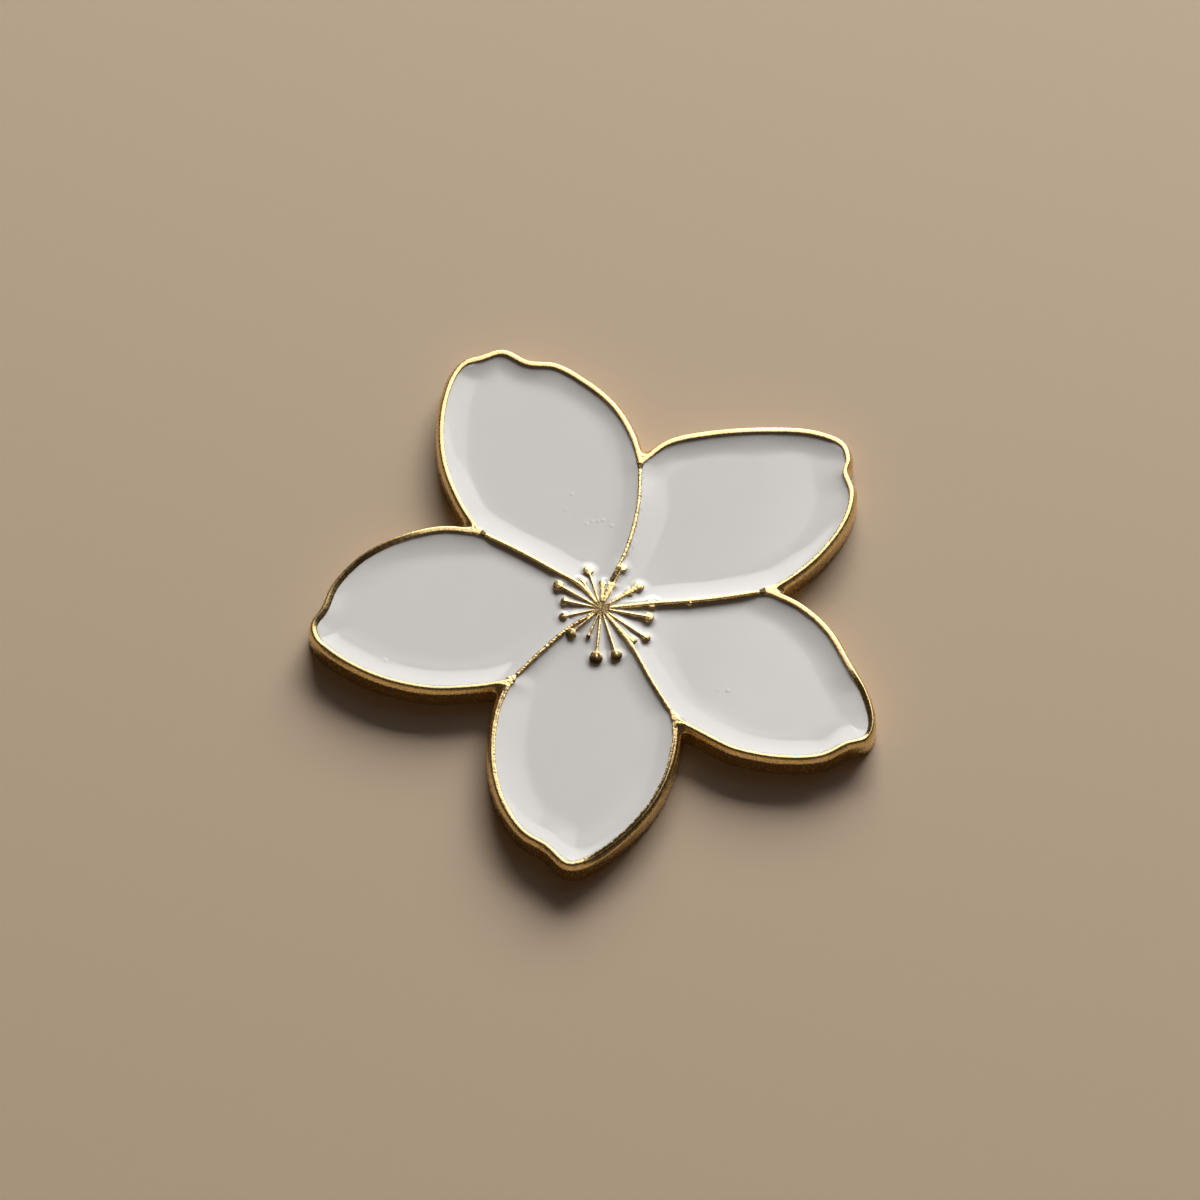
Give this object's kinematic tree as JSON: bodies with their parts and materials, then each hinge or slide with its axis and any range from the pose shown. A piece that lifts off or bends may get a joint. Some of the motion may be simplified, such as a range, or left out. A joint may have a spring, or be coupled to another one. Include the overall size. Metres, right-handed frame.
{
  "type": "enamel flower ornament",
  "caption": "Flat cast flower with wavy rounded petals, a raised gilt rim, dividers and stamens, and white enamel set a little below them; it lies on its plain back.",
  "frame": {"origin": "on the flat back, under the point in the middle of the flower where the dividers meet", "axes": "+Z out of the enamelled face, square to the flat back; +Y towards the taller upper petal, away from the viewer of the picture; +X to the viewer's right"},
  "size_m": [0.0323, 0.0344, 0.0015],
  "materials": {
    "gilt_metal": "pale gold plate, satin, with fine file marks across the rim",
    "white_enamel": "glossy warm white soft enamel, dished between the metal lines"
  },
  "bodies": {
    "root": {"metal_body": "gilt_metal", "enamel_upper_left": "white_enamel", "enamel_upper_right": "white_enamel", "enamel_lower_right": "white_enamel", "enamel_bottom": "white_enamel", "enamel_left": "white_enamel"}
  },
  "joints": []
}
